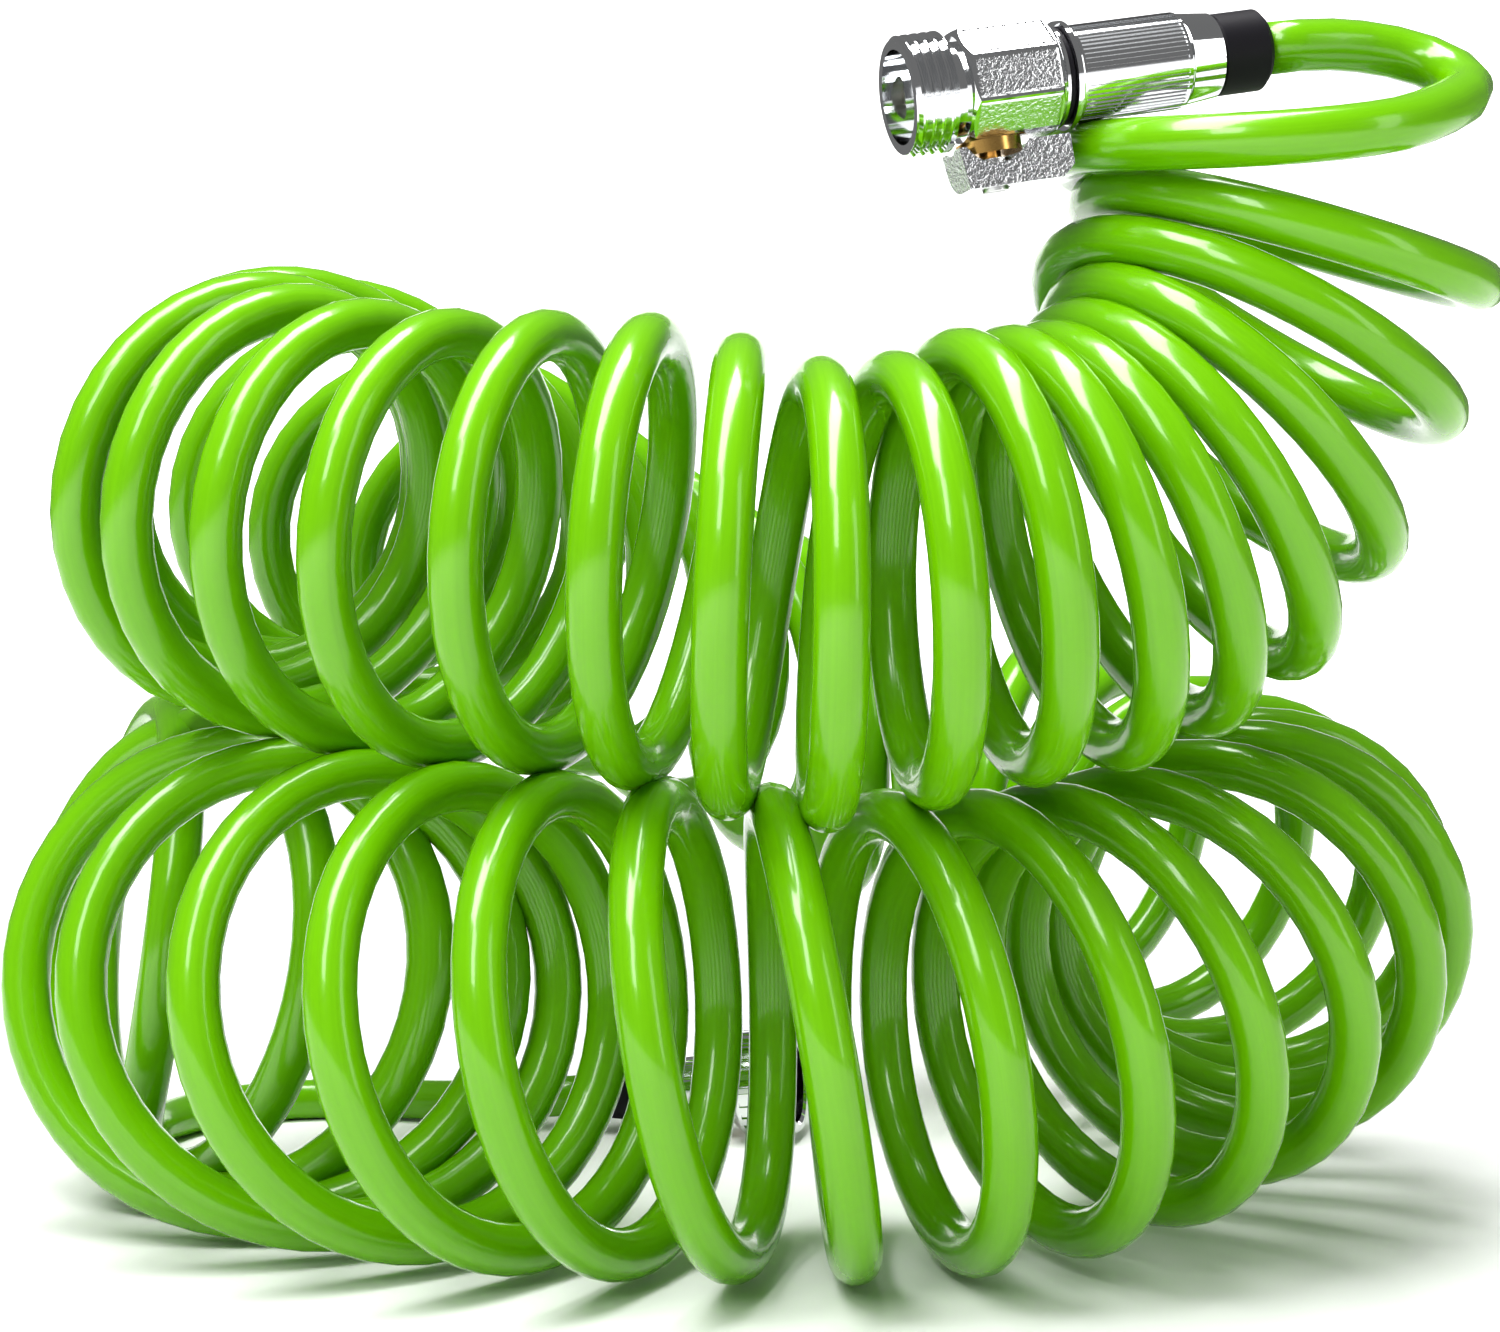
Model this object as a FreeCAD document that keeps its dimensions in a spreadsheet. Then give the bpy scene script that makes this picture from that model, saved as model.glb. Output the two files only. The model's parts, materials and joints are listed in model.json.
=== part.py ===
import FreeCAD, Part
import math
import os
import re
import Sketcher

# Self-coiling garden hose: a long hose of set coils that lies as a two-tier ring of loose turns.
# One end carries a male hose thread with a shut-off ball valve, the other a swivel coupling nut.
# Frame: +Z up, the hose lies on z = 0, the front of the ring faces -Y, the origin is under its middle.
# Each fitting is drawn about its own flow line, local +Z, which runs from its thread to the hose;
# local -Y of the valve is the side that the lever is on.

SIZES = {
    # hose
    "hose_r": 6.0, "hose_bore_r": 4.5,
    # outer radius of the coils in each stretch of the ring
    "coil_lower_r": 56.0, "coil_back_r": 54.0, "coil_upper_r": 55.0,
    # 3/4 inch garden hose thread, 11.5 turns to the inch
    "thread_r": 13.49, "thread_depth": 1.3, "thread_pitch": 2.2087, "thread_long": 9.8,
    "thread_land": 0.45, "thread_lead_in": 0.8,
    # valve body
    "mouth_r": 10.5, "mouth_deep": 7.3, "waterway_r": 4.75, "neck_r": 10.6, "neck_long": 3.4,
    "octagon_flats": 25.0, "octagon_long": 22.4, "octagon_chamfer": 1.2, "web_thick": 2.9,
    "chamber_r": 8.6,
    # ball, seats and stem
    "ball_r": 7.5, "ball_at": 19.3, "seat_bore_r": 5.2, "seat_long": 5.2, "fit_gap": 0.05,
    "slot_wide": 3.2, "slot_long": 7.0, "slot_floor": 5.7,
    "stem_r": 2.5, "stem_head_r": 3.4, "stem_head_top": 7.6, "stem_head_thick": 2.0,
    "gland_pocket_r": 4.6, "gland_pocket_top": 10.2, "gland_spigot": 1.0, "gland_r": 7.4,
    "gland_thick": 3.0, "stem_ring_r": 0.55,
    "stem_square": 3.6, "square_long": 3.2,
    # lever
    "lever_gap": 1.2, "lever_tall": 9.4, "lever_wide": 12.0, "lever_nose": 9.2, "lever_tail": 17.5,
    "lever_back_r": 5.0, "recess_r": 10.3, "recess_rise": 4.0, "hub_r": 4.6,
    "screw_r": 1.25, "screw_hole_r": 1.6, "screw_head_r": 3.0, "screw_head_thick": 1.8, "screw_long": 6.0,
    # end cap, ferrule and collar
    "shoulder_r": 11.6, "shoulder_long": 5.1, "groove_at": 1.3, "groove_wide": 1.7, "groove_deep": 1.4,
    "sleeve_r": 10.95, "sleeve_long": 26.8, "flute_count": 60.0, "flute_deep": 0.35, "flute_wide": 0.6,
    "socket_r": 8.0, "socket_deep": 21.0, "barb_r": 4.4, "barb_bore_r": 3.4, "barb_flange": 2.0,
    "barb_ridge": 0.35, "barb_long": 26.0, "barb_count": 5.0,
    "ferrule_r": 10.5, "ferrule_end_r": 9.7, "ferrule_long": 8.8, "ferrule_grip": 14.0, "collar_r": 9.3,
    "collar_long": 12.5,
    "collar_chamfer": 1.4,
    # swivel coupling at the other end
    "nut_r": 15.5, "nut_long": 18.0, "nut_crest_r": 12.3, "nut_wall": 3.4, "nut_recess_r": 12.9,
    "nut_flute_wide": 1.6, "nut_flute_count": 24.0, "washer_thick": 3.0, "washer_bore_r": 7.0,
    "flange_r": 12.4, "flange_thick": 2.0, "swivel_neck_r": 8.0, "swivel_neck_long": 9.8,
    "swivel_gap": 0.06, "inlet_barb_long": 20.0, "inlet_ferrule_r": 9.4, "inlet_ferrule_long": 22.0,
    "inlet_collar_r": 8.4, "inlet_collar_long": 14.0,
    # where the two fittings lie
    "outlet_x": 43.3, "outlet_y": -109.0, "outlet_z": 268.6,
    "inlet_x": 24.0, "inlet_y": 67.0, "inlet_z": 17.7,
}

# Direction of each fitting's flow line, from its thread to the hose.
OUTLET_WAY = FreeCAD.Vector(87, 22, 16)
INLET_WAY = FreeCAD.Vector(-97, 22, -11)

# Middle line of the coiled stretch, from the inlet end round the ring to the outlet end.
RING = [
    (-150, 13, 67), (-136, -17, 66), (-116, -49, 62), (-91, -71, 62), (-47, -91, 60), (3, -99, 59),
    (53, -95, 57), (98, -76, 60), (135, -41, 73), (148, 3, 76), (138, 47, 82), (112, 84, 91),
    (76, 109, 105), (33, 117, 122), (-10, 107, 143), (-51, 81, 164), (-85, 43, 183), (-109, -2, 192),
    (-119, -49, 183), (-68, -73, 170), (-14, -102, 168), (45, -118, 161), (88, -103, 169),
    (117, -80, 188),
]
# Each stretch ends half way along the run after this point.
LOWER_ENDS_AFTER = 8
BACK_ENDS_AFTER = 17

# The stretch from the last close coil up to the collar: three loose loops and a bend into the collar.
OUTLET_LEAD = [
    (103, -117, 223), (131, -127, 199), (154, -107, 174), (159, -69, 164), (141, -33, 176),
    (111, -22, 201), (87, -40, 228), (83, -78, 241), (104, -111, 237), (139, -120, 219),
    (169, -98, 203), (178, -59, 199), (161, -25, 211), (128, -16, 232), (98, -37, 249), (90, -76, 254),
    (109, -110, 247), (145, -119, 235), (177, -98, 229), (186, -60, 233), (166, -28, 244),
    (127, -19, 257), (92, -41, 264), (81, -80, 263), (99, -114, 258), (136, -125, 257), (168, -111, 264),
    (178, -94, 274), (169, -81, 283),
]

# The stretch on the floor from the swivel coupling to the first coil.
INLET_LEAD = [
    (-74, 91, 7), (-102, 100, 6), (-130, 100, 6), (-152, 85, 6), (-164, 59, 6), (-162, 33, 6),
    (-154, 9, 8),
]

doc = FreeCAD.newDocument("recoil_hose")

sheet = doc.addObject("Spreadsheet::Sheet", "Sizes")
for row, (word, value) in enumerate(SIZES.items(), start=1):
    sheet.set("A%d" % row, word)
    sheet.set("B%d" % row, repr(value))
    sheet.setAlias("B%d" % row, word)
doc.recompute()


def size(words):
    """Value of a size, or of sums worked out from sizes."""
    return float(sheet.evalExpression(in_sheet(words)))


def in_sheet(words):
    """The same sum with each size named as a cell of the sheet."""
    return re.sub(r"\b([a-z]+_[a-z_]+)\b", r"Sizes.\1", str(words))


def bind(thing, field, words):
    thing.setExpression(field, in_sheet(words))


def plane(body, role):
    return [p for p in body.Origin.OriginFeatures if p.Role == role][0]


def new_body(name):
    body = doc.addObject("PartDesign::Body", name)
    body.Label = name
    return body


def outline(body, name, role, points):
    """Closed sketch of straight edges whose corners are bound to the sheet."""
    sketch = body.newObject("Sketcher::SketchObject", name)
    sketch.AttachmentSupport = [(plane(body, role), "")]
    sketch.MapMode = "FlatFace"
    corners = [FreeCAD.Vector(size(x), size(y), 0) for x, y in points]
    count = len(corners)
    for i in range(count):
        sketch.addGeometry(Part.LineSegment(corners[i], corners[(i + 1) % count]), False)
    for i in range(count):
        sketch.addConstraint(Sketcher.Constraint("Coincident", i, 2, (i + 1) % count, 1))
    for i, (x, y) in enumerate(points):
        for kind, words, place in (("DistanceX", x, corners[i].x), ("DistanceY", y, corners[i].y)):
            index = sketch.addConstraint(Sketcher.Constraint(kind, -1, 1, i, 1, place))
            sketch.setExpression("Constraints[%d]" % index, in_sheet(words))
    return sketch


def turned(name, points):
    """Body turned about its own Z from a half section given as (radius, height) corners."""
    body = new_body(name)
    sketch = outline(body, name + "_section", "XZ_Plane", points)
    spin = body.newObject("PartDesign::Revolution", name + "_turned")
    spin.Profile = sketch
    spin.ReferenceAxis = (sketch, ["V_Axis"])
    spin.Angle = 360
    return body


def cylinder(name, radius, height, x="0", y="0", z="0", across=False):
    """Round tool; across lays it along -Y, from its place outwards."""
    tool = doc.addObject("Part::Cylinder", name)
    bind(tool, "Radius", radius)
    bind(tool, "Height", height)
    bind(tool, "Placement.Base.x", x)
    bind(tool, "Placement.Base.y", y)
    bind(tool, "Placement.Base.z", z)
    if across:
        tool.Placement.Rotation = FreeCAD.Rotation(FreeCAD.Vector(1, 0, 0), 90)
    return tool


def block(name, wide, deep, tall, x, y, z):
    tool = doc.addObject("Part::Box", name)
    for field, words in (("Length", wide), ("Width", deep), ("Height", tall)):
        bind(tool, field, words)
    for field, words in (("x", x), ("y", y), ("z", z)):
        bind(tool, "Placement.Base." + field, words)
    return tool


def ball(name, radius, y, z):
    tool = doc.addObject("Part::Sphere", name)
    bind(tool, "Radius", radius)
    bind(tool, "Placement.Base.y", y)
    bind(tool, "Placement.Base.z", z)
    return tool


def join(name, *pieces):
    result = doc.addObject("Part::MultiFuse", name)
    result.Shapes = list(pieces)
    return result


def cut(name, base, *tools):
    """Base less its tools, made one at a time."""
    for number, tool in enumerate(tools):
        last = number == len(tools) - 1
        result = doc.addObject("Part::Cut", name if last else "%s_cut_%d" % (name, number + 1))
        result.Base = base
        result.Tool = tool
        base = result
    return base


def thread_groove(name, radius, start, length, outward):
    """Coil of V section that cuts a thread; outward cuts into a bore's wall."""
    spine = doc.addObject("Part::Helix", name + "_helix")
    bind(spine, "Pitch", "thread_pitch")
    bind(spine, "Height", length)
    bind(spine, "Radius", radius)
    bind(spine, "Placement.Base.z", start)
    half = size("thread_pitch") / 2 - size("thread_land") / 2
    side = 1 if outward else -1
    depth = size("thread_depth")
    spare = 0.3
    slope = half / depth
    edge = size(radius)
    base = size(start)
    corners = [
        FreeCAD.Vector(edge - side * spare, 0, base - half - spare * slope),
        FreeCAD.Vector(edge + side * depth, 0, base - half * 0.12),
        FreeCAD.Vector(edge + side * depth, 0, base + half * 0.12),
        FreeCAD.Vector(edge - side * spare, 0, base + half + spare * slope),
    ]
    doc.recompute()
    section = Part.Wire(Part.makePolygon(corners + corners[:1]))
    groove = doc.addObject("Part::Feature", name)
    groove.Shape = Part.Wire(spine.Shape.Edges).makePipeShell([section], True, True)
    return groove


def place(thing, label, way, spot):
    """Gives a finished piece its label and lays it on its fitting's flow line."""
    along = FreeCAD.Vector(way).normalize()
    up = FreeCAD.Vector(0, 0, 1) - along * along.z
    up.normalize()
    side = up.cross(along)
    thing.Placement = FreeCAD.Placement(FreeCAD.Vector(), FreeCAD.Rotation(side, up, along, "ZYX"))
    for axis in "xyz":
        bind(thing, "Placement.Base." + axis, spot + "_" + axis)
    thing.Label = label
    pieces.append(thing)


pieces = []

# Valve body: chromed brass, turned with its male thread and neck, octagonal over the ball chamber.
octagon_start = "thread_long + neck_long"
octagon_end = "thread_long + neck_long + octagon_long"
turned_part = turned("valve_barrel", [
    ("mouth_r", "0"), ("thread_r - thread_lead_in", "0"), ("thread_r", "thread_lead_in"),
    ("thread_r", "thread_long"), ("neck_r", "thread_long"), ("neck_r", octagon_start + " + 1"),
    ("waterway_r", octagon_start + " + 1"), ("waterway_r", "mouth_deep"), ("mouth_r", "mouth_deep")])
octagon = doc.addObject("Part::Prism", "valve_octagon")
octagon.Polygon = 8
bind(octagon, "Circumradius", "octagon_flats / 2 / cos(22.5 deg)")
bind(octagon, "Height", "octagon_long")
bind(octagon, "Placement.Base.z", octagon_start)
octagon.Placement.Rotation = FreeCAD.Rotation(FreeCAD.Vector(0, 0, 1), 22.5)
corner_r = "octagon_flats / 2 / cos(22.5 deg)"
octagon_limit = turned("octagon_shoulders", [
    ("0", octagon_start), (corner_r + " - octagon_chamfer - 0.4", octagon_start),
    (corner_r + " + 0.3", octagon_start + " + octagon_chamfer * 1.4"),
    (corner_r + " + 0.3", octagon_end + " - octagon_chamfer * 1.4"),
    (corner_r + " - octagon_chamfer - 0.4", octagon_end), ("0", octagon_end)])
octagon_trimmed = doc.addObject("Part::Common", "octagon_trimmed")
octagon_trimmed.Base = octagon
octagon_trimmed.Tool = octagon_limit
valve_whole = join("valve_whole", turned_part, octagon_trimmed)
chamber = cylinder("chamber_bore", "chamber_r", octagon_end, z="mouth_deep + web_thick")
inner_way = cylinder("inner_way", "waterway_r", octagon_end, z="mouth_deep - 1")
stem_pocket = cylinder("stem_head_pocket", "stem_head_r + fit_gap", "3.4", y="-stem_head_top + 1.2",
                       z="ball_at", across=True)
stem_hole = cylinder("stem_hole", "stem_r + fit_gap", "octagon_flats / 2", y="-stem_head_top",
                     z="ball_at", across=True)
gland_pocket = cylinder("gland_pocket", "gland_pocket_r", "octagon_flats", y="-gland_pocket_top",
                        z="ball_at", across=True)
male_groove = thread_groove("male_groove", "thread_r", "-thread_pitch / 2",
                            "thread_long + thread_pitch / 4", False)
valve_body = cut("valve_body", valve_whole, chamber, inner_way, stem_pocket, stem_hole, gland_pocket,
                 male_groove)
place(valve_body, "valve_body", OUTLET_WAY, "outlet")

# Ball: polished brass, bored through, with a slot for the stem's tongue.
ball_bore = cylinder("ball_bore", "waterway_r", "ball_r * 3", z="ball_at - ball_r * 1.5")
ball_slot = block("ball_slot", "slot_wide", "ball_r - slot_floor + 1", "slot_long", "-slot_wide / 2",
                  "-ball_r - 1", "ball_at - slot_long / 2")
valve_ball = cut("valve_ball", ball("ball_blank", "ball_r", "0", "ball_at"), ball_bore, ball_slot)
place(valve_ball, "valve_ball", OUTLET_WAY, "outlet")

# Two seats of PTFE that the ball turns between.
seat_face = "mouth_deep + web_thick"
rear_face = "2 * ball_at - mouth_deep - web_thick"
for name, low, high in (("ball_seat_front", seat_face, seat_face + " + seat_long"),
                        ("ball_seat_rear", rear_face + " - seat_long", rear_face)):
    blank = turned(name + "_blank", [
        ("seat_bore_r", low), ("chamber_r - fit_gap", low), ("chamber_r - fit_gap", high),
        ("seat_bore_r", high)])
    hollow = ball(name + "_hollow", "ball_r + fit_gap / 2", "0", "ball_at")
    place(cut(name, blank, hollow), name, OUTLET_WAY, "outlet")

# Stem: a head inside the chamber, a round shank, and a square end that drives the lever.
shank_end = "octagon_flats / 2 + gland_thick + lever_gap"
tongue = block("stem_tongue", "slot_wide - 2 * fit_gap", "stem_head_top - slot_floor",
               "slot_long - 1.4", "-slot_wide / 2 + fit_gap", "-stem_head_top - fit_gap",
               "ball_at - slot_long / 2 + 0.7")
stem_head = cylinder("stem_head", "stem_head_r", "stem_head_thick", y="-stem_head_top", z="ball_at",
                     across=True)
shank = cylinder("stem_shank", "stem_r", shank_end + " - stem_head_top", y="-stem_head_top",
                 z="ball_at", across=True)
square = block("stem_square_end", "stem_square", "square_long + 0.2", "stem_square",
               "-stem_square / 2", "-(" + shank_end + ") - square_long", "ball_at - stem_square / 2")
screw_hole = cylinder("stem_screw_hole", "screw_r", "screw_long + 1",
                      y="-(" + shank_end + ") - square_long + screw_long", z="ball_at", across=True)
valve_stem = cut("valve_stem", join("stem_whole", tongue, stem_head, shank, square), screw_hole)
place(valve_stem, "valve_stem", OUTLET_WAY, "outlet")

# O-ring round the stem, held up by the gland nut's spigot.
stem_ring = doc.addObject("Part::Torus", "stem_ring")
bind(stem_ring, "Radius1", "stem_r + stem_ring_r + fit_gap")
bind(stem_ring, "Radius2", "stem_ring_r")
stem_ring.Placement.Rotation = FreeCAD.Rotation(FreeCAD.Vector(1, 0, 0), 90)
bind(stem_ring, "Placement.Base.y", "-gland_pocket_top - stem_ring_r - fit_gap")
bind(stem_ring, "Placement.Base.z", "ball_at")
ring_seat = doc.addObject("Part::Compound", "stem_ring_seated")
ring_seat.Links = [stem_ring]
place(ring_seat, "stem_o_ring", OUTLET_WAY, "outlet")

# Gland nut: a bare brass boss between the body and the lever.
spigot = cylinder("gland_spigot_rod", "gland_pocket_r - fit_gap", "gland_spigot + 0.5",
                  y="-octagon_flats / 2 + gland_spigot", z="ball_at", across=True)
flange = cylinder("gland_flange", "gland_r", "gland_thick", y="-octagon_flats / 2", z="ball_at",
                  across=True)
gland_hole = cylinder("gland_hole", "stem_r + fit_gap", "octagon_flats", y="-stem_head_top",
                      z="ball_at", across=True)
place(cut("stem_gland_nut", join("gland_whole", spigot, flange), gland_hole), "stem_gland_nut",
      OUTLET_WAY, "outlet")

# Lever: a chromed casting that lies along the valve when it is open, hollowed round the gland nut.
lever_top = "octagon_flats / 2 + lever_gap"
lever_floor = lever_top + " + lever_tall"
lever_blank = new_body("lever_blank")
side_view = outline(lever_blank, "lever_side", "YZ_Plane", [
    ("-(" + lever_top + ")", "ball_at - lever_nose"),
    ("-(" + lever_top + ")", "ball_at + lever_tail"),
    ("-(" + lever_floor + ") + 2.5", "ball_at + lever_tail"),
    ("-(" + lever_floor + ")", "ball_at + lever_tail - 3"),
    ("-(" + lever_floor + ")", "ball_at - lever_nose + 1.2")])
lever_pad = lever_blank.newObject("PartDesign::Pad", "lever_block")
lever_pad.Profile = side_view
bind(lever_pad, "Length", "lever_wide")
lever_pad.Midplane = True
doc.recompute()
back_edges = []
for number, edge in enumerate(lever_pad.Shape.Edges, start=1):
    middle = edge.BoundBox.Center
    if middle.x > size("lever_wide") / 2 - 0.1 and middle.y < -size(lever_floor) + 0.1:
        back_edges.append("Edge%d" % number)
lever_round = lever_blank.newObject("PartDesign::Fillet", "lever_back_round")
lever_round.Base = (lever_pad, back_edges)
bind(lever_round, "Radius", "lever_back_r")
recess = ball("lever_recess", "recess_r", "-(" + lever_top + ") + recess_rise", "ball_at")
hub_top = shank_end
hub = cylinder("lever_hub", "hub_r", "square_long + 2", y="-(" + hub_top + ")", z="ball_at", across=True)
square_hole = block("lever_square_hole", "stem_square + 2 * fit_gap", "square_long + 1.3",
                    "stem_square + 2 * fit_gap", "-stem_square / 2 - fit_gap",
                    "-(" + hub_top + ") - square_long - 0.3", "ball_at - stem_square / 2 - fit_gap")
lever_hole = cylinder("lever_screw_hole", "screw_hole_r", "12", y="-(" + hub_top + ")", z="ball_at",
                      across=True)
head_pocket = cylinder("screw_head_pocket", "screw_head_r + 0.4", "lever_tall",
                       y="-(" + hub_top + ") - square_long - 2", z="ball_at", across=True)
lever_body = join("lever_whole", cut("lever_hollowed", lever_blank, recess), hub)
place(cut("lever_handle", lever_body, square_hole, lever_hole, head_pocket), "lever_handle",
      OUTLET_WAY, "outlet")

# Screw that holds the lever on the stem.
screw_seat = hub_top + " + square_long + 2"
head = cylinder("screw_head", "screw_head_r", "screw_head_thick", y="-(" + screw_seat + ")",
                z="ball_at", across=True)
thread_rod = cylinder("screw_shank", "screw_r - 0.02", "screw_long - 1 + 2",
                      y="-(" + screw_seat + ") + screw_long + 1", z="ball_at", across=True)
drive_slot = block("screw_slot", "0.8", "1.0", "screw_head_r * 3", "-0.4",
                   "-(" + screw_seat + ") - screw_head_thick - 0.2", "ball_at - screw_head_r * 1.5")
place(cut("lever_screw", join("screw_whole", head, thread_rod), drive_slot), "lever_screw",
      OUTLET_WAY, "outlet")

# End cap: plugs the chamber behind the rear seat and carries the fluted sleeve over the hose's tail.
cap_nose = rear_face
sleeve_start = octagon_end + " + shoulder_long"
sleeve_end = sleeve_start + " + sleeve_long"
groove_low = octagon_end + " + groove_at"
cap_blank = turned("end_cap_blank", [
    ("waterway_r", cap_nose), ("chamber_r - fit_gap", cap_nose),
    ("chamber_r - fit_gap", octagon_end), ("shoulder_r - 0.6", octagon_end),
    ("shoulder_r", octagon_end + " + 0.6"), ("shoulder_r", groove_low),
    ("shoulder_r - groove_deep", groove_low), ("shoulder_r - groove_deep", groove_low + " + groove_wide"),
    ("shoulder_r + 0.6", groove_low + " + groove_wide"), ("shoulder_r + 0.6", sleeve_start + " - 0.8"),
    ("sleeve_r", sleeve_start), ("sleeve_r", sleeve_end + " - 0.5"), ("sleeve_r - 0.5", sleeve_end),
    ("socket_r", sleeve_end), ("socket_r", sleeve_end + " - socket_deep"),
    ("waterway_r", sleeve_end + " - socket_deep")])
doc.recompute()
flute_sketch = outline(cap_blank, "flute_section", "XZ_Plane", [
    ("sleeve_r - flute_deep", sleeve_start + " + 0.6"), ("sleeve_r + 1", sleeve_start + " + 0.6"),
    ("sleeve_r + 1", sleeve_end + " - 1.2"), ("sleeve_r - flute_deep", sleeve_end + " - 1.2")])
flute = cap_blank.newObject("PartDesign::Pocket", "flute")
flute.Profile = flute_sketch
flute.Midplane = True
bind(flute, "Length", "flute_wide")
flutes = cap_blank.newObject("PartDesign::PolarPattern", "flutes")
flutes.Originals = [flute]
flutes.Axis = (flute_sketch, ["V_Axis"])
flutes.Angle = 360
bind(flutes, "Occurrences", "flute_count")
cap_blank.Tip = flutes
place(cap_blank, "knurled_end_cap", OUTLET_WAY, "outlet")

# O-ring in the end cap's groove.
cap_ring = turned("end_cap_o_ring", [
    ("shoulder_r - groove_deep + 0.02", groove_low + " + 0.1"), ("shoulder_r - 0.9", groove_low + " + 0.1"),
    ("shoulder_r - 0.6", groove_low + " + 0.5"),
    ("shoulder_r - 0.6", groove_low + " + groove_wide - 0.5"),
    ("shoulder_r - 0.9", groove_low + " + groove_wide - 0.1"),
    ("shoulder_r - groove_deep + 0.02", groove_low + " + groove_wide - 0.1")])
place(cap_ring, "end_cap_o_ring", OUTLET_WAY, "outlet")


def barb(name, foot, flange, seat, length):
    """Barbed tail: a flange at its foot and saw-tooth ridges that the hose is pushed over."""
    points = [("barb_bore_r", foot)] + flange + [("barb_r", seat)]
    step = "(" + length + ") / (barb_count + 1)"
    for ridge in range(1, int(size("barb_count")) + 1):
        root = "%s + %s * %d" % (seat, step, ridge)
        points += [("barb_r + barb_ridge", root + " - 1.2"), ("barb_r", root)]
    points += [("barb_r", seat + " + " + length), ("barb_bore_r", seat + " + " + length)]
    return turned(name, points)


# Outlet barb, its ferrule, the hose's tail inside them and the rubber collar.
barb_foot = sleeve_end + " - socket_deep"
barb_seat = barb_foot + " + barb_flange"
outlet_barb = barb("outlet_barb", barb_foot, [
    ("socket_r - fit_gap", barb_foot), ("socket_r - fit_gap", barb_seat)], barb_seat, "barb_long")
place(outlet_barb, "outlet_barb", OUTLET_WAY, "outlet")
ferrule_end = sleeve_end + " + ferrule_long"
outlet_end = ferrule_end + " + collar_long"
outlet_ferrule = turned("outlet_ferrule", [
    ("hose_r + fit_gap", sleeve_end + " - ferrule_grip"),
    ("socket_r - fit_gap", sleeve_end + " - ferrule_grip"), ("socket_r - fit_gap", sleeve_end),
    ("ferrule_r - 0.4", sleeve_end), ("ferrule_r", sleeve_end + " + 0.4"),
    ("ferrule_end_r", ferrule_end + " - 0.5"), ("ferrule_end_r - 0.5", ferrule_end),
    ("hose_r + fit_gap", ferrule_end)])
place(outlet_ferrule, "outlet_ferrule", OUTLET_WAY, "outlet")
outlet_collar = turned("outlet_strain_relief", [
    ("hose_r + fit_gap", ferrule_end), ("collar_r - 0.4", ferrule_end),
    ("collar_r", ferrule_end + " + 0.4"), ("collar_r", outlet_end + " - collar_chamfer"),
    ("collar_r - collar_chamfer", outlet_end), ("hose_r + fit_gap", outlet_end)])
place(outlet_collar, "outlet_strain_relief", OUTLET_WAY, "outlet")
outlet_tail = turned("hose_tail_outlet", [
    ("hose_bore_r", barb_seat + " + 0.3"), ("hose_r", barb_seat + " + 0.3"), ("hose_r", outlet_end),
    ("hose_bore_r", outlet_end)])
place(outlet_tail, "hose_tail_outlet", OUTLET_WAY, "outlet")

# Swivel coupling nut: chromed brass with a female thread, fluted for the fingers. Behind the thread
# a wider recess holds the washer and the tailpiece's flange.
nut_shoulder = "nut_long - nut_wall"
flange_back = nut_shoulder + " - 0.2"
flange_front = flange_back + " - flange_thick"
recess_at = flange_front + " - washer_thick - 0.2"
nut_blank = turned("coupling_nut_blank", [
    ("nut_crest_r + 0.8", "0"), ("nut_r - 0.8", "0"), ("nut_r", "0.8"), ("nut_r", "nut_long - 2.5"),
    ("nut_r - 2.5", "nut_long"), ("swivel_neck_r + swivel_gap", "nut_long"),
    ("swivel_neck_r + swivel_gap", nut_shoulder), ("nut_recess_r", nut_shoulder),
    ("nut_recess_r", recess_at), ("nut_crest_r", recess_at), ("nut_crest_r", "0.8")])
doc.recompute()
nut_sketch = outline(nut_blank, "nut_flute_section", "XZ_Plane", [
    ("nut_r - 0.5", "2"), ("nut_r + 1", "2"), ("nut_r + 1", "nut_long - 3.5"),
    ("nut_r - 0.5", "nut_long - 3.5")])
nut_flute = nut_blank.newObject("PartDesign::Pocket", "nut_flute")
nut_flute.Profile = nut_sketch
nut_flute.Midplane = True
bind(nut_flute, "Length", "nut_flute_wide")
nut_flutes = nut_blank.newObject("PartDesign::PolarPattern", "nut_flutes")
nut_flutes.Originals = [nut_flute]
nut_flutes.Axis = (nut_sketch, ["V_Axis"])
nut_flutes.Angle = 360
bind(nut_flutes, "Occurrences", "nut_flute_count")
nut_blank.Tip = nut_flutes
female_groove = thread_groove("female_groove", "nut_crest_r", "-thread_pitch / 2",
                              recess_at + " + thread_pitch / 2", True)
place(cut("coupling_nut", nut_blank, female_groove), "coupling_nut", INLET_WAY, "inlet")

# Washer, tailpiece, ferrule, collar and hose tail of the inlet.
washer = turned("hose_washer", [
    ("washer_bore_r", flange_front + " - washer_thick"), ("nut_recess_r - 0.3", flange_front + " - washer_thick"),
    ("nut_recess_r - 0.3", flange_front), ("washer_bore_r", flange_front)])
place(washer, "hose_washer", INLET_WAY, "inlet")
inlet_seat = flange_back + " + swivel_neck_long"
tailpiece = barb("inlet_tailpiece", flange_front, [
    ("flange_r", flange_front), ("flange_r", flange_back), ("swivel_neck_r", flange_back),
    ("swivel_neck_r", inlet_seat)], inlet_seat, "inlet_barb_long")
place(tailpiece, "inlet_tailpiece", INLET_WAY, "inlet")
inlet_ferrule_end = inlet_seat + " + inlet_ferrule_long"
inlet_end = inlet_ferrule_end + " + inlet_collar_long"
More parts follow.
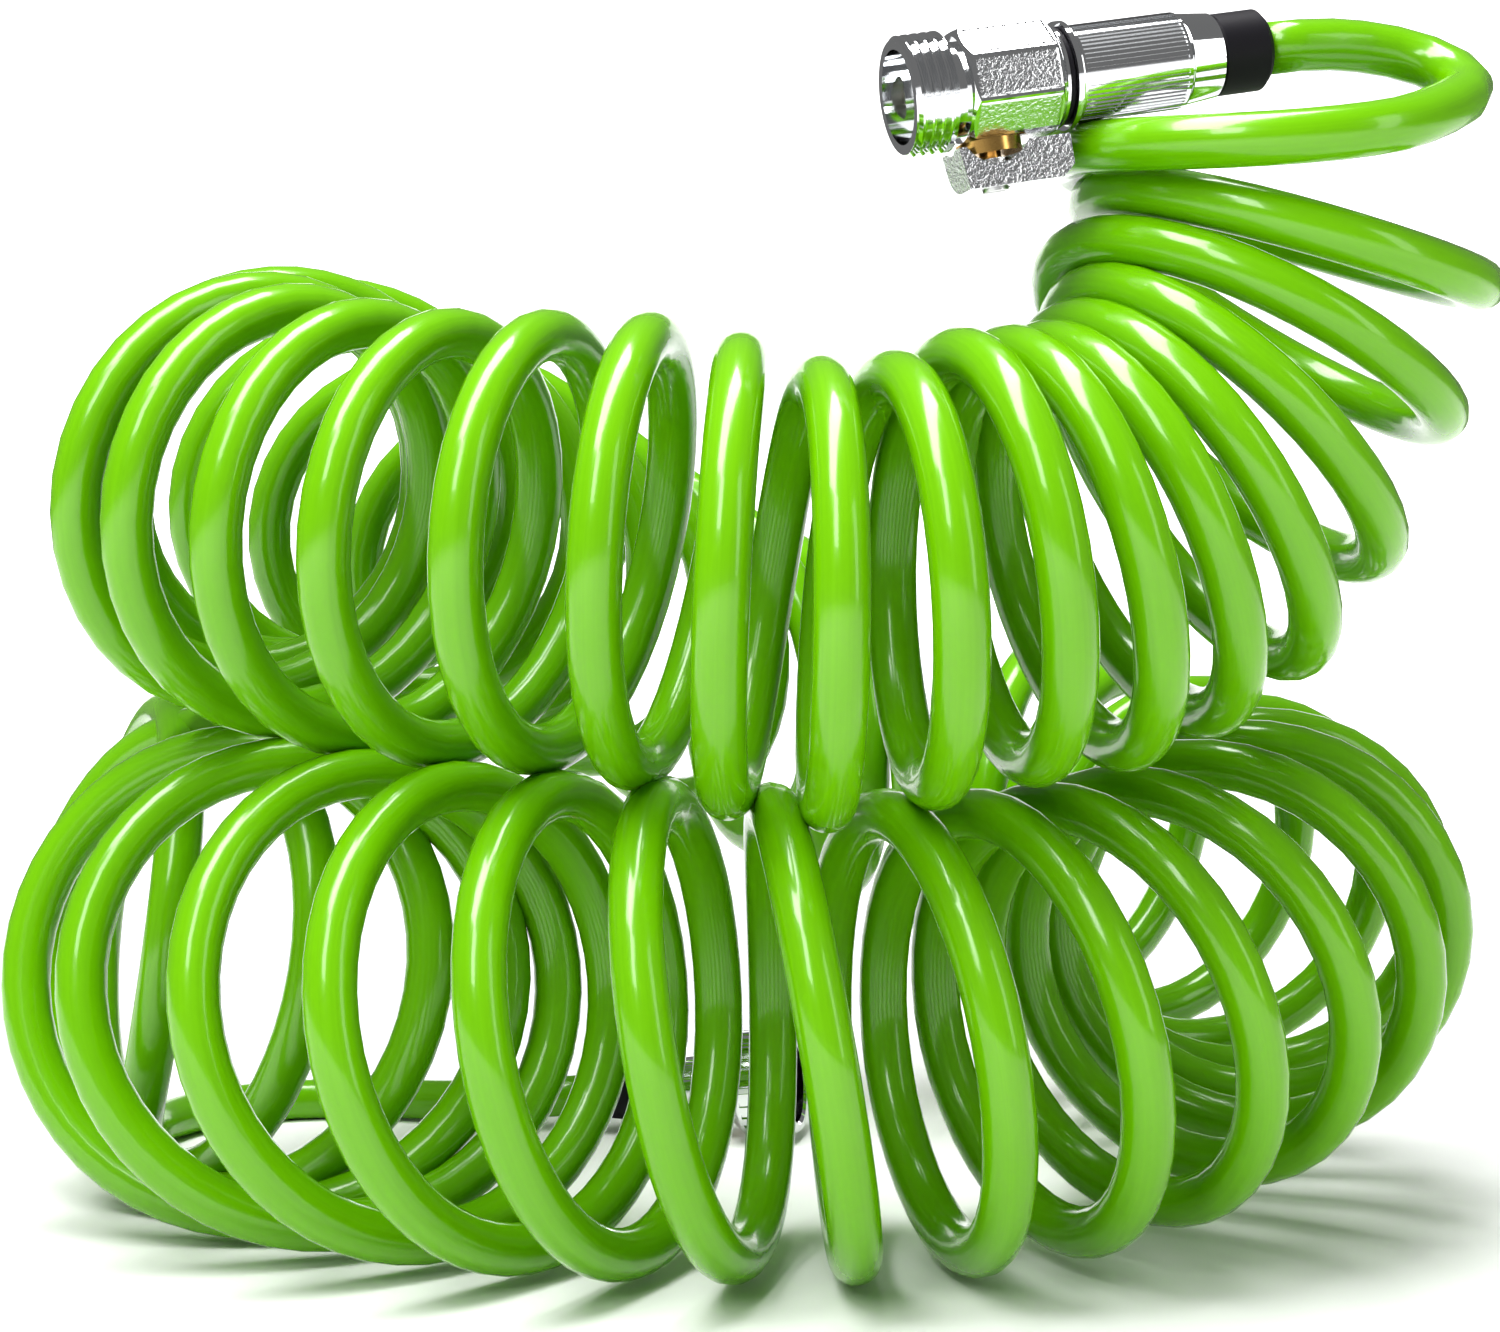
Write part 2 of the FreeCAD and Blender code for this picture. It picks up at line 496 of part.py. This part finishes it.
inlet_ferrule = turned("inlet_ferrule", [
    ("hose_r + fit_gap", inlet_seat), ("inlet_ferrule_r - 0.5", inlet_seat),
    ("inlet_ferrule_r", inlet_seat + " + 0.5"), ("inlet_ferrule_r", inlet_ferrule_end + " - 0.5"),
    ("inlet_ferrule_r - 0.5", inlet_ferrule_end), ("hose_r + fit_gap", inlet_ferrule_end)])
place(inlet_ferrule, "inlet_ferrule", INLET_WAY, "inlet")
inlet_collar = turned("inlet_strain_relief", [
    ("hose_r + fit_gap", inlet_ferrule_end), ("inlet_collar_r", inlet_ferrule_end),
    ("inlet_collar_r", inlet_ferrule_end + " + 4"), ("hose_r + 1", inlet_end),
    ("hose_r + fit_gap", inlet_end)])
place(inlet_collar, "inlet_strain_relief", INLET_WAY, "inlet")
inlet_tail = turned("hose_tail_inlet", [
    ("hose_bore_r", inlet_seat + " + 0.3"), ("hose_r", inlet_seat + " + 0.3"), ("hose_r", inlet_end),
    ("hose_bore_r", inlet_end)])
place(inlet_tail, "hose_tail_inlet", INLET_WAY, "inlet")


def on_fitting(way, spot, along):
    """Point of a fitting's flow line, by its distance from the thread's face."""
    start = FreeCAD.Vector(*[size(spot + "_" + axis) for axis in "xyz"])
    return start + FreeCAD.Vector(way).normalize() * along


def rounded_path(points):
    """Straight runs joined by tangent arcs, each as large as its two runs allow."""
    edges = []
    radii = []
    last = points[0]
    for before, corner, after in zip(points, points[1:], points[2:]):
        arriving = (corner - before)
        leaving = (after - corner)
        trim = 0.45 * min(arriving.Length, leaving.Length)
        arriving.normalize()
        leaving.normalize()
        half_turn = arriving.getAngle(leaving) / 2
        radii.append(trim / math.tan(half_turn))
        first = corner - arriving * trim
        second = corner + leaving * trim
        inward = (leaving - arriving).normalize()
        centre = corner + inward * (radii[-1] / math.cos(half_turn))
        middle = centre - inward * radii[-1]
        edges.append(Part.LineSegment(last, first).toShape())
        edges.append(Part.Arc(first, middle, second).toShape())
        last = second
    edges.append(Part.LineSegment(last, points[-1]).toShape())
    return Part.Wire(edges), radii


def hose_piece(name, points, radius_name):
    """Closed tube along rounded runs; prints its bends and compares its volume."""
    path, radii = rounded_path(points)
    radius = size(radius_name)
    start_way = (points[1] - points[0]).normalize()
    ring = Part.Wire(Part.makeCircle(radius, points[0], start_way))
    tube = doc.addObject("Part::Feature", name)
    tube.Label = name
    tube.Shape = path.makePipeShell([ring], True, False)
    tube.Placement = FreeCAD.Placement()
    expected = math.pi * radius ** 2 * path.Length
    print("%s: length %.0f, radii %s, volume ratio %.4f" % (
        name, path.Length, " ".join("%.0f" % r for r in radii), tube.Shape.Volume / expected))
    pieces.append(tube)


# The hose itself. Each coiled stretch is one closed tube of the coils' outer size.
ring_points = [FreeCAD.Vector(*p) for p in RING]
lower_end = (ring_points[LOWER_ENDS_AFTER] + ring_points[LOWER_ENDS_AFTER + 1]) / 2
back_end = (ring_points[BACK_ENDS_AFTER] + ring_points[BACK_ENDS_AFTER + 1]) / 2
hose_piece("hose_coil_lower", ring_points[:LOWER_ENDS_AFTER + 1] + [lower_end], "coil_lower_r")
hose_piece("hose_coil_back", [lower_end] + ring_points[LOWER_ENDS_AFTER + 1:BACK_ENDS_AFTER + 1]
           + [back_end], "coil_back_r")
hose_piece("hose_coil_upper", [back_end] + ring_points[BACK_ENDS_AFTER + 1:], "coil_upper_r")
outlet_exit = on_fitting(OUTLET_WAY, "outlet", size(outlet_end))
outlet_points = [FreeCAD.Vector(*p) for p in OUTLET_LEAD]
hose_piece("hose_outlet_lead",
           outlet_points + [outlet_exit + FreeCAD.Vector(OUTLET_WAY).normalize() * 14, outlet_exit], "hose_r")
inlet_exit = on_fitting(INLET_WAY, "inlet", size(inlet_end))
hose_piece("hose_inlet_lead",
           [inlet_exit, inlet_exit + FreeCAD.Vector(INLET_WAY).normalize() * 12]
           + [FreeCAD.Vector(*p) for p in INLET_LEAD], "hose_r")

doc.recompute()
for thing in doc.Objects:
    if "Invalid" in thing.State or "Error" in thing.State:
        raise RuntimeError("%s failed: %s" % (thing.Label, thing.State))
for piece in pieces:
    if piece.Shape.isNull() or not piece.Shape.isValid():
        raise RuntimeError("%s has no valid shape" % piece.Label)

os.makedirs("parts", exist_ok=True)
for piece in pieces:
    piece.Shape.exportStep("parts/%s.step" % piece.Label)
    box = piece.Shape.BoundBox
    print("%-22s solids %d  volume %9.1f  z %.1f to %.1f" % (
        piece.Label, len(piece.Shape.Solids), piece.Shape.Volume, box.ZMin, box.ZMax))
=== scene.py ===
import bpy
import json
import math
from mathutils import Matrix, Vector


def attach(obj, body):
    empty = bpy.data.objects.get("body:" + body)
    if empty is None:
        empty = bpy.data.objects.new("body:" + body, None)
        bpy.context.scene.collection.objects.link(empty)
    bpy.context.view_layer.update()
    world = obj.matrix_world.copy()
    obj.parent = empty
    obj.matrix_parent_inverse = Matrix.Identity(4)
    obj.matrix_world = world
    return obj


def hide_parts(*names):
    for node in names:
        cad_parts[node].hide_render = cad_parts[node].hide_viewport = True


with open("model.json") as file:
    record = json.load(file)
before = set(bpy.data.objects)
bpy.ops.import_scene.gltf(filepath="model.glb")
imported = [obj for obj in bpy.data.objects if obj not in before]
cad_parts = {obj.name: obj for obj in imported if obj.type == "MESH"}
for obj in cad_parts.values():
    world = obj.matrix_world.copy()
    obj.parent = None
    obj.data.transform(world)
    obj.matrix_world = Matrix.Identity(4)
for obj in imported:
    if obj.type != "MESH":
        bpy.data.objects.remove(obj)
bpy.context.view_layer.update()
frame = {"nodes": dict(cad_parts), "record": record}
MM = 0.001

# Camera: level with the middle of the ring and straight in front of it, as for a product shot.
camera_data = bpy.data.cameras.new("camera")
camera_data.lens = 60.86
camera_data.sensor_width = 36.0
camera_data.clip_start = 0.05
camera = bpy.data.objects.new("camera", camera_data)
camera.location = (0.0103, -0.6766, 0.1500)
camera.rotation_euler = (math.radians(90.0 - 0.83), 0.0, 0.0)
bpy.context.collection.objects.link(camera)
bpy.context.scene.camera = camera


class Wire:
    """A value inside a material. Sums with it add Math nodes."""

    def __init__(self, tree, socket):
        self.tree = tree
        self.socket = socket

    def math(self, operation, first, second):
        node = self.tree.nodes.new("ShaderNodeMath")
        node.operation = operation
        for place, value in zip(node.inputs, (first, second)):
            if isinstance(value, Wire):
                self.tree.links.new(value.socket, place)
            else:
                place.default_value = value
        return Wire(self.tree, node.outputs[0])

    def __add__(self, other):
        return self.math("ADD", self, other)

    def __sub__(self, other):
        return self.math("SUBTRACT", self, other)

    def __mul__(self, other):
        return self.math("MULTIPLY", self, other)

    def __pow__(self, power):
        return self.math("POWER", self, power)


class Finish:
    """One material: its Principled shader, and a method that adds any other node."""

    def __init__(self, name, **constants):
        self.material = bpy.data.materials.new(name)
        self.material.use_nodes = True
        self.tree = self.material.node_tree
        self.shader = self.tree.nodes["Principled BSDF"]
        self.set(self.shader, {word.replace("_", " "): value for word, value in constants.items()})

    def set(self, node, values):
        for name, value in values.items():
            if isinstance(value, Wire):
                self.tree.links.new(value.socket, node.inputs[name])
            else:
                node.inputs[name].default_value = value

    def node(self, kind, values=None, output=0, **settings):
        node = self.tree.nodes.new("ShaderNode" + kind)
        for name, value in settings.items():
            if name == "stops":
                ramp = node.color_ramp
                while len(ramp.elements) < len(value):
                    ramp.elements.new(0.5)
                for element, (place, colour) in zip(ramp.elements, value):
                    element.position = place
                    element.color = (*colour, 1.0)
            else:
                setattr(node, name, value)
        self.set(node, values or {})
        return Wire(self.tree, node.outputs[output])

    def feed(self, **links):
        self.set(self.shader, {word.replace("_", " "): value for word, value in links.items()})

    def bump(self, height, strength, distance):
        return self.node("Bump", {"Height": height, "Strength": strength, "Distance": distance})


def give(finish, *nodes):
    """A CAD node's object takes this finish in each of its material slots."""
    for name in nodes:
        node = frame["nodes"][name]
        if not node.material_slots:
            node.data.materials.append(finish.material)
        for slot in node.material_slots:
            slot.material = finish.material


# Hose: one 15 m length of glossy lime-green extruded plastic, set into coils while it was warm.
# It lies as a two-tier ring of loose turns. Each row gives a point of the ring's middle line in
# millimetres, the turns wound by there and their radius, and the way the turns' axis points.
HOSE_R = 6.0
THREAD_MIDDLE = 5.0
OUTLET_LONG = 88.8
INLET_LONG = 60.2
OUTLET_STRAIGHT = 14
INLET_STRAIGHT = 12
RING = [
    ((-156, 18, 68), (0.35, 61.0), (-0.97, -0.23, 0.04)),
    ((-136, -17, 66), (1.66, 59.5), (-0.66, -0.74, 0.08)),
    ((-116, -49, 63), (2.96, 57.0), (-0.11, -0.99, 0.12)),
    ((-91, -71, 63), (4.22, 55.0), (0.48, -0.87, 0.14)),
    ((-47, -91, 60), (6.10, 53.0), (0.82, -0.56, 0.10)),
    ((3, -99, 59), (8.22, 51.8), (0.98, -0.16, 0.07)),
    ((53, -95, 56.5), (10.10, 50.5), (0.95, 0.30, 0.02)),
    ((98, -76, 60), (12.27, 49.8), (0.76, 0.61, 0.21)),
    ((135, -41, 73), (14.33, 49.3), (0.45, 0.87, 0.21)),
    ((148, 3, 76), (16.03, 48.9), (0.03, 0.98, 0.18)),
    ((138, 47, 82), (17.68, 48.7), (-0.40, 0.91, 0.12)),
    ((112, 84, 91), (19.31, 48.6), (-0.77, 0.64, 0.06)),
    ((76, 109, 105), (20.90, 48.7), (-0.98, 0.21, -0.01)),
    ((33, 117, 122), (22.49, 48.9), (-0.96, -0.27, -0.07)),
    ((-10, 107, 143), (24.07, 49.2), (-0.72, -0.68, -0.14)),
    ((-51, 81, 164), (25.70, 49.5), (-0.33, -0.93, -0.19)),
    ((-85, 43, 183), (27.39, 49.7), (0.10, -0.97, -0.23)),
    ((-109, -2, 192), (29.18, 49.9), (0.45, -0.85, -0.25)),
    ((-119, -49, 183), (31.12, 49.8), (0.68, -0.69, -0.24)),
    ((-68, -73, 170), (33.74, 49.5), (0.84, -0.51, -0.19)),
    ((-14, -100, 170), (35.93, 48.6), (0.83, -0.14, -0.14)),
    ((26, -116, 154), (38.05, 47.3), (0.81, 0.07, -0.08)),
    ((60, -118, 166), (39.82, 46.2), (0.93, 0.23, 0.07)),
    ((84, -103, 167), (41.30, 46.4), (0.91, 0.28, 0.26)),
    ((101, -89, 175), (42.57, 47.3), (0.83, 0.29, 0.43)),
    ((119, -79, 190), (43.77, 48.6), (0.67, 0.17, 0.55)),
    ((124, -69, 212), (44.82, 49.0), (0.45, 0.18, 0.71)),
    ((141, -66, 235), (45.69, 48.9), (0.32, -0.03, 0.77)),
    ((132, -71, 254), (46.73, 48.7), (0.12, -0.08, 0.82)),
    ((125, -81, 289), (47.59, 48.5), (-0.20, -0.27, 0.87)),
]
TURNS_END = 47.1
POINTS_PER_TURN = 24
ROUTE_STEPS = 12
HOSE_STEPS = 8
RING_STEP = 6.8 * MM
SIDES = 24
OUTLET_LEAD = [(177, -94, 273), (172, -81, 282), (160, -78, 286.5)]
INLET_LEAD = [
    (-74, 91, 7), (-102, 100, 6), (-130, 100, 6), (-152, 85, 6), (-164, 59, 6), (-162, 39, 6),
]


def smooth_line(points, steps):
    """Points of the smooth line that a route's control points make."""
    curve = bpy.data.curves.new("line", "CURVE")
    curve.dimensions = "3D"
    curve.resolution_u = steps
    spline = curve.splines.new("NURBS")
    spline.points.add(len(points) - 1)
    for point, place in zip(spline.points, points):
        point.co = (*place, 1.0)
    spline.order_u = 3
    spline.use_endpoint_u = True
    holder = bpy.data.objects.new("line", curve)
    mesh = bpy.data.meshes.new_from_object(holder)
    line = [vertex.co.copy() for vertex in mesh.vertices]
    bpy.data.objects.remove(holder)
    bpy.data.meshes.remove(mesh)
    bpy.data.curves.remove(curve)
    return line


def carried(side, way):
    """The side direction, kept square to a new way."""
    return (side - way * side.dot(way)).normalized()


def coil_points():
    """The coil's turns about the ring's middle line, from the inlet end to the outlet end."""
    middle = smooth_line([row[0] for row in RING], ROUTE_STEPS)
    winding = smooth_line([(*row[1], 0) for row in RING], ROUTE_STEPS)
    facing = smooth_line([row[2] for row in RING], ROUTE_STEPS)
    points = []
    side = None
    count = math.ceil(winding[0].x * POINTS_PER_TURN)
    step = 0
    while count <= TURNS_END * POINTS_PER_TURN:
        turns = count / POINTS_PER_TURN
        while winding[step + 1].x < turns:
            step += 1
        part = (turns - winding[step].x) / (winding[step + 1].x - winding[step].x)
        way = facing[step].lerp(facing[step + 1], part).normalized()
        side = carried(side or way.cross(Vector((0, 0, 1))), way)
        radius = winding[step].lerp(winding[step + 1], part).y
        angle = math.tau * turns
        reach = side * math.cos(angle) - side.cross(way) * math.sin(angle)
        points.append(middle[step].lerp(middle[step + 1], part) + reach * radius)
        count += 1
    return points


mounts = {mount["name"]: mount for mount in frame["record"]["mounts"]}


def flow_line(mount):
    """Start and direction of a fitting's flow line, from its thread's mount."""
    way = -Vector(mounts[mount]["axis"])
    return Vector(mounts[mount]["pos_m"]) / MM - way * THREAD_MIDDLE, way


outlet_face, outlet_way = flow_line("outlet_thread")
inlet_face, inlet_way = flow_line("inlet_thread")
outlet_exit = outlet_face + outlet_way * OUTLET_LONG
inlet_exit = inlet_face + inlet_way * INLET_LONG
coil = coil_points()
hose_points = [outlet_exit, outlet_exit + outlet_way * OUTLET_STRAIGHT]
hose_points += [Vector(point) for point in reversed(OUTLET_LEAD)]
hose_points += list(reversed(coil))
hose_points += [Vector(point) for point in reversed(INLET_LEAD)]
hose_points += [inlet_exit + inlet_way * INLET_STRAIGHT, inlet_exit]
fine_line = smooth_line([point * MM for point in hose_points], HOSE_STEPS)

hose_line = [fine_line[0]]
for before, after in zip(fine_line, fine_line[1:]):
    if (after - hose_line[-1]).length >= RING_STEP:
        hose_line.append(after)
hose_line[-1] = fine_line[-1]

vertices = []
faces = []
side = None
for number, place in enumerate(hose_line):
    before = hose_line[max(number - 1, 0)]
    after = hose_line[min(number + 1, len(hose_line) - 1)]
    way = (after - before).normalized()
    side = carried(side or way.cross(Vector((0, 0, 1))), way)
    up = way.cross(side)
    for corner in range(SIDES):
        angle = math.tau * corner / SIDES
        vertices.append(place + (side * math.cos(angle) + up * math.sin(angle)) * HOSE_R * MM)
for ring in range(len(hose_line) - 1):
    for corner in range(SIDES):
        beside = (corner + 1) % SIDES
        low, high = ring * SIDES, (ring + 1) * SIDES
        faces.append((low + corner, low + beside, high + beside, high + corner))
faces.append(tuple(reversed(range(SIDES))))
faces.append(tuple(range(len(vertices) - SIDES, len(vertices))))
hose_mesh = bpy.data.meshes.new("hose")
hose_mesh.from_pydata(vertices, [], faces)
along = [0.0]
for before, after in zip(hose_line, hose_line[1:]):
    along.append(along[-1] + (after - before).length)
round_hose = hose_mesh.uv_layers.new(name="round_hose")
for polygon in hose_mesh.polygons:
    corners = [hose_mesh.loops[i].vertex_index for i in polygon.loop_indices]
    wraps = len(corners) == 4 and {c % SIDES for c in corners} == {0, SIDES - 1}
    for index, corner in zip(polygon.loop_indices, corners):
        turn = corner % SIDES
        if wraps and turn == 0:
            turn = SIDES
        round_hose.data[index].uv = (turn / SIDES, along[corner // SIDES])
    polygon.use_smooth = True
hose = bpy.data.objects.new("hose", hose_mesh)
bpy.context.collection.objects.link(hose)
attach(hose, "hose")
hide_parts("hose_coil_lower", "hose_coil_back", "hose_coil_upper", "hose_outlet_lead",
            "hose_inlet_lead")

# Its finish: clear gloss over the colour, with the faint lines that the extrusion die leaves.
hose_finish = Finish("hose_lime", Roughness=0.20, Coat_Weight=0.35, Coat_Roughness=0.03, IOR=1.45)
hose_uv = hose_finish.node("UVMap", uv_map="round_hose")
stretched = hose_finish.node("Mapping", {"Vector": hose_uv, "Scale": (46.0, 1.2, 1.0)})
lines = hose_finish.node("TexNoise", {"Vector": stretched, "Scale": 1.0, "Detail": 3.0, "Roughness": 0.6})
shade = hose_finish.node("TexNoise", {"Vector": hose_finish.node("TexCoord", output=3), "Scale": 9.0,
                                      "Detail": 2.0})
hose_colour = hose_finish.node("ValToRGB", {"Fac": shade * 0.5 + lines * 0.5}, stops=[
    (0.3, (0.125, 0.36, 0.0)), (0.7, (0.15, 0.41, 0.0))])
hose_finish.feed(Base_Color=hose_colour, Roughness=lines * 0.10 + 0.17,
                 Normal=hose_finish.bump(lines, 0.08, 0.0004))
hose.data.materials.append(hose_finish.material)
give(hose_finish, "hose_tail_outlet", "hose_tail_inlet")

# Chrome plating: mirror-bright where it covers turned metal, pebbled over the rough castings.
PLATING = (0.80, 0.81, 0.82, 1.0)
chrome = Finish("chrome_plate", Metallic=1.0, Roughness=0.07, Base_Color=PLATING)
give(chrome, "knurled_end_cap", "outlet_ferrule", "coupling_nut", "inlet_ferrule")
pebble_set = {"Scale": 1150.0, "Detail": 2.5, "Roughness": 0.6}
lever_chrome = Finish("chrome_lever", Metallic=1.0, Roughness=0.16, Base_Color=PLATING)
lever_place = lever_chrome.node("TexCoord", output=3)
lever_pebbles = lever_chrome.node("TexNoise", {"Vector": lever_place, **pebble_set})
lever_chrome.feed(Normal=lever_chrome.bump(lever_pebbles, 0.5, 0.0004))
give(lever_chrome, "lever_handle")

# The valve body is pebbled only on the octagon's flats: its thread, ends and corners are polished.
# These are millimetres out from the flow line, and along it from the thread's face.
CORNERS_OFF_AXIS = 13.3
FLATS_OFF_AXIS = 13.1
FLATS_START = 15.0
FLATS_END = 34.5
FLATS_EDGE = 0.5
body_chrome = Finish("chrome_body", Metallic=1.0, Roughness=0.10, Base_Color=PLATING)
body_place = body_chrome.node("TexCoord", output=3)
from_face = body_chrome.node("VectorMath", {0: body_place, 1: outlet_face * MM}, operation="SUBTRACT")
down_flow = body_chrome.node("VectorMath", {0: from_face, 1: outlet_way}, output=1,
                             operation="DOT_PRODUCT")
far_out = body_chrome.node("VectorMath", {0: from_face}, output=1, operation="LENGTH")
off_axis = (far_out * far_out - down_flow * down_flow) ** 0.5
on_flats = body_chrome.node("MapRange", {
    "Value": off_axis, "From Min": CORNERS_OFF_AXIS * MM, "From Max": FLATS_OFF_AXIS * MM})
past_neck = body_chrome.node("MapRange", {
    "Value": down_flow, "From Min": (FLATS_START - FLATS_EDGE) * MM, "From Max": FLATS_START * MM})
before_end = body_chrome.node("MapRange", {
    "Value": down_flow, "From Min": FLATS_END * MM, "From Max": (FLATS_END - FLATS_EDGE) * MM})
cast_flats = on_flats * past_neck * before_end
body_pebbles = body_chrome.node("TexNoise", {"Vector": body_place, **pebble_set})
body_chrome.feed(Normal=body_chrome.bump(body_pebbles * cast_flats, 0.55, 0.0004),
                 Roughness=cast_flats * 0.10 + 0.07)
give(body_chrome, "valve_body")

# Bare metal, seats and rubber.
brass = Finish("brass", Metallic=1.0, Roughness=0.24, Base_Color=(0.66, 0.42, 0.14, 1.0))
give(brass, "valve_ball", "valve_stem", "stem_gland_nut", "outlet_barb", "inlet_tailpiece")
ptfe = Finish("seat_ptfe", Roughness=0.45, Base_Color=(0.85, 0.85, 0.82, 1.0))
give(ptfe, "ball_seat_front", "ball_seat_rear")
rubber = Finish("black_rubber", Roughness=0.55, Specular_IOR_Level=0.25,
                Base_Color=(0.006, 0.005, 0.008, 1.0))
give(rubber, "stem_o_ring", "end_cap_o_ring", "outlet_strain_relief", "inlet_strain_relief", "hose_washer")
steel = Finish("screw_steel", Metallic=1.0, Roughness=0.3, Base_Color=(0.6, 0.6, 0.6, 1.0))
give(steel, "lever_screw")

# Stage: a white floor that glows as painted light away from the ring, a lit white screen behind it, and
# soft boxes in front and above.
bpy.ops.mesh.primitive_plane_add(size=6.0)
floor = bpy.context.object
floor.name = "floor"
floor_finish = Finish("floor_white", Roughness=0.9, Specular_IOR_Level=0.1,
                      Base_Color=(0.92, 0.92, 0.92, 1.0))
# Painted light: the floor glows more the farther it lies from the middle, from none at 0.35 m to full glow
# at 1.1 m. This burns the far floor out to white, while the floor near the ring stays lit by the lamps
# alone.
floor_place = floor_finish.node("TexCoord", output=3)
floor_spot = floor_finish.node("VectorMath", {0: floor_place}, output=1, operation="LENGTH")
floor_glow = floor_finish.node("MapRange", {"Value": floor_spot, "From Min": 0.35, "From Max": 1.1})
floor_finish.feed(Emission_Color=floor_finish.node("CombineColor", {
    "Red": floor_glow, "Green": floor_glow, "Blue": floor_glow}), Emission_Strength=0.75)
floor.data.materials.append(floor_finish.material)
bpy.ops.mesh.primitive_plane_add(size=1.0, location=(0.0, 3.0, 0.65), rotation=(math.pi / 2, 0.0, 0.0))
screen = bpy.context.object
screen.scale = (2.7, 1.3, 1.0)
screen.name = "screen"
screen_finish = Finish("screen_white", Roughness=1.0, Base_Color=(0.8, 0.8, 0.8, 1.0),
                       Emission_Color=(1.0, 1.0, 1.0, 1.0), Emission_Strength=1.0)
screen.data.materials.append(screen_finish.material)


def soft_light(name, power, place, aim, wide, tall):
    """A rectangular lamp of some watts, turned towards the point that it lights."""
    light = bpy.data.lights.new(name, "AREA")
    light.shape = "RECTANGLE"
    light.size = wide
    light.size_y = tall
    light.energy = power
    holder = bpy.data.objects.new(name, light)
    holder.location = place
    holder.rotation_euler = (Vector(aim) - Vector(place)).to_track_quat("-Z", "Y").to_euler()
    bpy.context.collection.objects.link(holder)


soft_light("key", 9.0, (-0.60, -1.45, 1.15), (0, 0, 0.15), 0.45, 0.75)
soft_light("fill", 4.0, (1.4, -1.0, 0.7), (0, 0, 0.15), 0.4, 1.2)
soft_light("top", 30.0, (-0.20, -0.30, 1.35), (0, -0.05, 0.1), 0.5, 1.5)
world = bpy.data.worlds.new("world")
bpy.context.scene.world = world
world.use_nodes = True
world.node_tree.nodes["Background"].inputs["Color"].default_value = (1.0, 1.0, 1.0, 1.0)
world.node_tree.nodes["Background"].inputs["Strength"].default_value = 0.18
bpy.context.scene.view_settings.view_transform = "Standard"
bpy.context.scene.view_settings.look = "Medium High Contrast"
